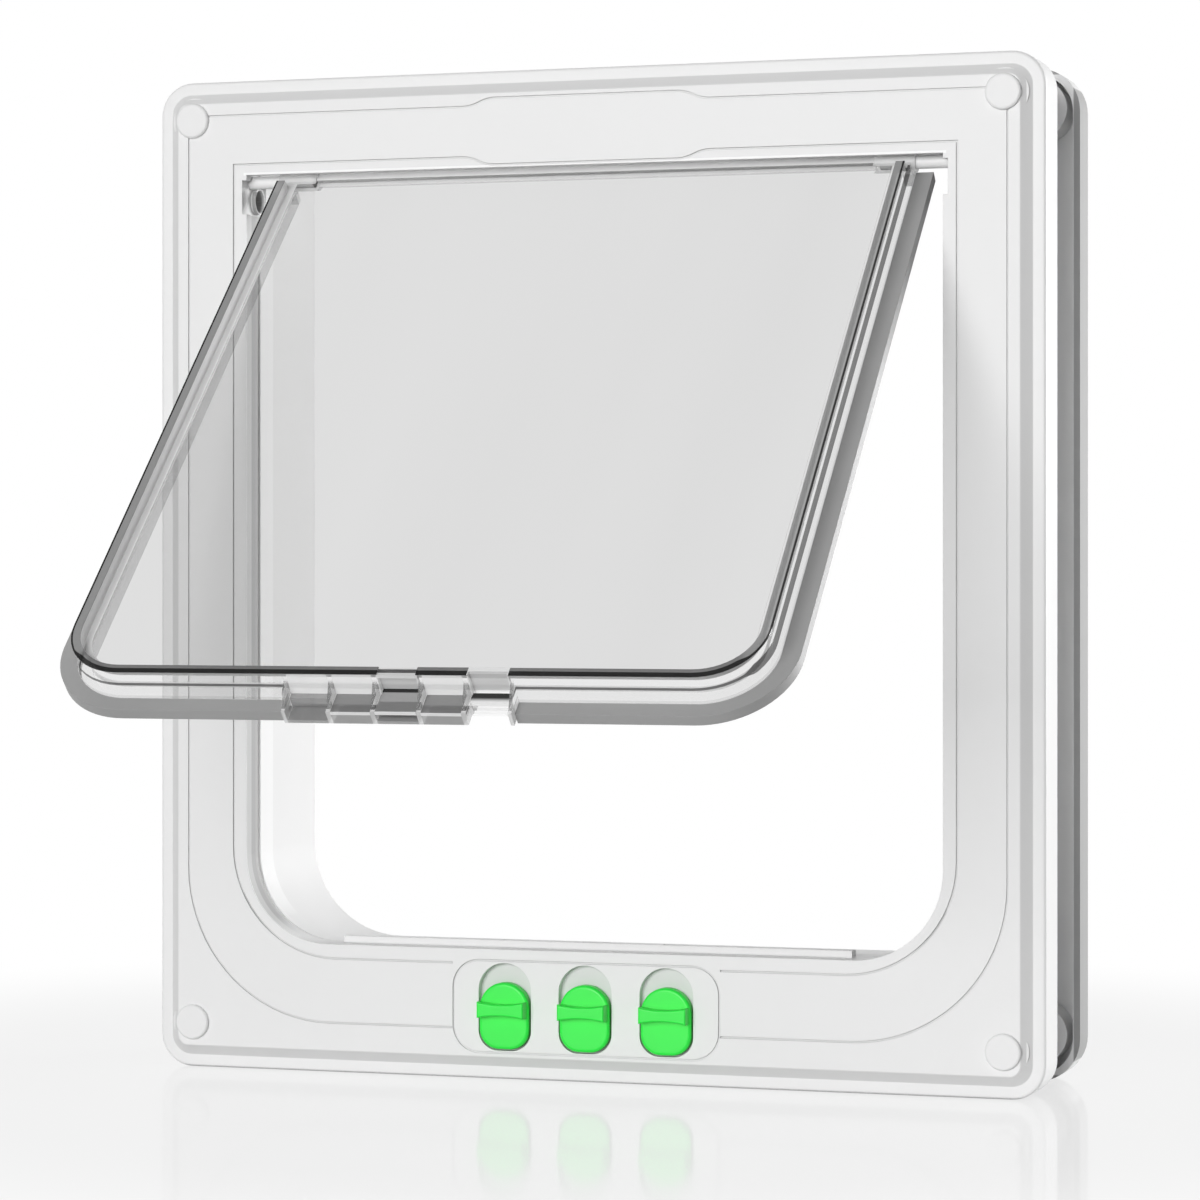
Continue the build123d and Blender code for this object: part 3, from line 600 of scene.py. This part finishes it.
def clearPlastic():
    look = flapLook
    tones = look["tones"]
    finish, shader, place = newFinish("clearPlastic")
    spots = flapPlaces(place)
    inRim = spots["outside"].step(*look["rimFrom"])
    spots["inRim"] = inRim
    tint = blend(inRim, grey(tones["pane"][0]), grey(tones["wall"][0]))
    cover = inRim.between(tones["pane"][1], tones["wall"][1])
    # Painted refraction lines, highlights and shade, layered over the pane's own tint
    for layer, mask in flapLayers(spots):
        tint = blend(mask, tint, grey(tones[layer][0]))
        cover = cover + mask * (tones[layer][1] - cover)
    feed(shader, "Base Color", tint)
    stretched = place.node("ShaderNodeMapping", {}, {"Vector": place, "Scale": look["streakStretch"]})
    streaks = noise(stretched, look["streakScale"], look["streakDetail"]) - 0.5
    feed(shader, "Alpha", cover + streaks * look["streakCover"])
    wave = noise(place, look["waveScale"], look["waveDetail"])
    feed(shader, "Roughness", wave * look["roughSpan"] + look["rough"])
    shader.inputs["IOR"].default_value = look["refraction"]
    shader.inputs["Specular IOR Level"].default_value = look["specular"]
    return finish


def dress(finish, names):
    for name in names:
        slots = nodes[name].data.materials
        slots.clear()
        slots.append(finish)


whiteStarts = ("screw_cap", "pivot_pin", "lock_bolt", "lock_cover")
whiteNames = [name for name in nodes if name.startswith(whiteStarts) and name != "lock_cover_screws"]
dress(mouldedPlastic("whiteMoulding", whiteLook), whiteNames)
dress(mouldedPlastic("frontMoulding", whiteLook, frontPaintedShadeAndLight), ["front_frame"])
dress(mouldedPlastic("rearMoulding", whiteLook, rearPaintedShade), ["rear_frame"])
dress(mouldedPlastic("greenPlastic", greenLook), [name for name in nodes if name.startswith("lock_button")])
dress(sealGrey(), ["flap_seal_left", "flap_seal_right"])
steel = plainSteel()
dress(steel, ["frame_screws", "lock_cover_screws"])
dress(clearPlastic(), ["flap"])
print("finishes done")

# Frame screws with cut threads behind their plain necks
screwLook = {
    "neck": 0.0095,
    "pitch": 0.0010,
    "root": 0.00150,
    "crest": 0.00187,
    "bury": 0.0002,
    "crestWide": 0.00012,
    "rootWide": 0.00070,
    "tipLength": 0.0018,
    "tipRadius": 0.0007,
    "steps": 20,
    "weld": 0.000002,
    "sharpAngle": 35.0,
}


# A rod along Y between two places, with a radius at each end
def addRod(work, x, z, start, end, startRadius, endRadius):
    middle = Vector((x, (start + end) / 2, z))
    bmesh.ops.create_cone(
        work,
        cap_ends=True,
        segments=screwLook["steps"],
        radius1=startRadius,
        radius2=endRadius,
        depth=end - start,
        matrix=Matrix.Translation(middle) @ Matrix.Rotation(math.radians(-90.0), 4, "X"),
    )


# The thread's ridge: its section carried round the rod and along it
def addRidge(work, x, z, start, end):
    look = screwLook
    inside = x + look["root"] - look["bury"]
    outside = x + look["crest"]
    corners = [(inside, -look["rootWide"]), (outside, -look["crestWide"])]
    corners += [(outside, look["crestWide"]), (inside, look["rootWide"])]
    points = [work.verts.new((across, start + along / 2, z)) for across, along in corners]
    section = work.faces.new(points)
    turns = int((end - start) / look["pitch"])
    bmesh.ops.spin(
        work,
        geom=points + section.edges[:] + [section],
        cent=(x, 0.0, z),
        axis=(0.0, 1.0, 0.0),
        dvec=(0.0, look["pitch"] / look["steps"], 0.0),
        angle=2.0 * math.pi * turns,
        steps=look["steps"] * turns,
    )


# Heads and necks of the plain screws, cut off and closed where the threads begin
def plainHeads(neckEnd):
    heads = bmesh.new()
    heads.from_mesh(nodes["frame_screws"].data)
    bmesh.ops.remove_doubles(heads, verts=heads.verts[:], dist=screwLook["weld"])
    bmesh.ops.bisect_plane(
        heads,
        geom=heads.verts[:] + heads.edges[:] + heads.faces[:],
        plane_co=(0.0, neckEnd, 0.0),
        plane_no=(0.0, 1.0, 0.0),
        clear_outer=True,
    )
    bmesh.ops.holes_fill(heads, edges=[edge for edge in heads.edges if edge.is_boundary])
    mesh = bpy.data.meshes.new("plainHeads")
    heads.to_mesh(mesh)
    heads.free()
    return mesh


def makeScrews(name):
    look = screwLook
    low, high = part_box("frame_screws")
    neckEnd = low.y + look["neck"]
    tipStart = high.y - look["tipLength"]
    boxes = [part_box(cap) for cap in nodes if cap.startswith("screw_cap")]
    spots = [(corner + opposite) / 2 for corner, opposite in boxes]
    first = spots[0]
    work = bmesh.new()
    addRod(work, first.x, first.z, neckEnd - look["pitch"], tipStart, look["root"], look["root"])
    addRod(work, first.x, first.z, tipStart, high.y, look["root"], look["tipRadius"])
    addRidge(work, first.x, first.z, neckEnd - look["pitch"] / 2, tipStart)
    thread = work.verts[:] + work.edges[:] + work.faces[:]
    for spot in spots[1:]:
        copied = bmesh.ops.duplicate(work, geom=thread)["geom"]
        points = [item for item in copied if isinstance(item, bmesh.types.BMVert)]
        bmesh.ops.translate(work, verts=points, vec=(spot.x - first.x, 0.0, spot.z - first.z))
    heads = plainHeads(neckEnd)
    work.from_mesh(heads)
    bpy.data.meshes.remove(heads)
    bmesh.ops.recalc_face_normals(work, faces=work.faces[:])
    for face in work.faces:
        face.smooth = True
    # Spin leaves the faces in no fixed order, so they get that of their points
    work.verts.index_update()
    ranked = sorted(work.faces, key=lambda face: [point.index for point in face.verts])
    places = {face: rank for rank, face in enumerate(ranked)}
    work.faces.sort(key=places.get)
    mesh = bpy.data.meshes.new(name)
    work.to_mesh(mesh)
    work.free()
    mesh.set_sharp_from_angle(angle=math.radians(look["sharpAngle"]))
    mesh.materials.append(steel)
    screws = bpy.data.objects.new(name, mesh)
    bpy.context.scene.collection.objects.link(screws)
    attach(screws, "frame")
    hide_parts("frame_screws")
    print("screws:", len(mesh.polygons), "faces")


makeScrews("threadedScrews")

# Floor and white surroundings
floorLook = {
    "size": 6.0,
    "colour": 0.58,
    "whiteNear": 0.88,
    "nearReach": (0.16, 0.34),
    "mirrorShare": 0.18,
    "mirrorRough": 0.08,
}


# 1 for rays that show the white surroundings: the camera's, and those through clear or off glossy pieces
def seenRays(start):
    seen = start.node("ShaderNodeLightPath", {}, {}, out="Is Camera Ray")
    for kind in ("Is Transmission Ray", "Is Glossy Ray"):
        seen = seen.over(start.node("ShaderNodeLightPath", {}, {}, out=kind))
    return seen


# White all over, a little less so near the object, where it keeps the shadow and a faint mirror image
def makeFloor(level):
    look = floorLook
    bpy.ops.mesh.primitive_plane_add(size=look["size"], location=(0.0, 0.0, level))
    floor = bpy.context.object
    floor.name = "floor"
    finish, shader, place = newFinish("floorWhite")
    away = place.node("ShaderNodeVectorMath", {"operation": "LENGTH"}, {0: place}, out=1)
    far = away.step(*look["nearReach"])
    matt = place.node("ShaderNodeBsdfDiffuse", {}, {"Color": grey(look["colour"])})
    glow = place.node("ShaderNodeEmission", {}, {})
    gloss = place.node("ShaderNodeBsdfGlossy", {}, {"Roughness": look["mirrorRough"]})
    white = seenRays(place) * far.between(look["whiteNear"], 1.0)
    pale = place.node("ShaderNodeMixShader", {}, {0: white, 1: matt, 2: glow})
    mirror = (1 - far) * look["mirrorShare"]
    shiny = place.node("ShaderNodeMixShader", {}, {0: mirror, 1: pale, 2: gloss})
    place.tree.nodes.remove(shader)
    feed(place.tree.nodes["Material Output"], "Surface", shiny)
    floor.data.materials.append(finish)


worldLook = {"light": 0.14}


def makeWorld():
    world = bpy.data.worlds.new("studio")
    bpy.context.scene.world = world
    world.use_nodes = True
    back = world.node_tree.nodes["Background"]
    back.inputs["Color"].default_value = grey(1.0)
    seen = seenRays(Field(world.node_tree, back.outputs[0]))
    feed(back, "Strength", seen.between(worldLook["light"], 1.0))


lamps = {
    "frontSoft": {"at": (-0.34, -3.2, 0.34), "size": 2.0, "power": 109.0},
    "rightSoft": {"at": (1.30, 1.25, 0.14), "size": 0.9, "power": 43.0},
    "topSoft": {"at": (0.0, 0.1, 1.9), "size": 1.4, "power": 1.2},
}


def makeLamp(name, look):
    data = bpy.data.lights.new(name, "AREA")
    data.size = look["size"]
    data.energy = look["power"]
    lamp = bpy.data.objects.new(name, data)
    bpy.context.scene.collection.objects.link(lamp)
    lamp.location = look["at"]
    lamp.rotation_euler = (-Vector(look["at"])).to_track_quat("-Z", "Y").to_euler()


cameraLook = {
    "at": (0.312673, -0.963431, -0.002165),
    "turn": 18.047,
    "lens": 121.863,
    "sensor": 36.0,
    "shiftUp": -0.0275,
}


def makeCamera():
    look = cameraLook
    data = bpy.data.cameras.new("photoCamera")
    data.lens = look["lens"]
    data.sensor_width = look["sensor"]
    data.shift_y = look["shiftUp"]
    camera = bpy.data.objects.new("photoCamera", data)
    bpy.context.scene.collection.objects.link(camera)
    camera.location = look["at"]
    camera.rotation_euler = (math.radians(90.0), 0.0, math.radians(look["turn"]))
    bpy.context.scene.camera = camera


makeFloor(cadBox[0][2])
makeWorld()
for lampName, lampLook in lamps.items():
    makeLamp(lampName, lampLook)
makeCamera()
bpy.context.scene.view_settings.view_transform = "Standard"
print("stage done")
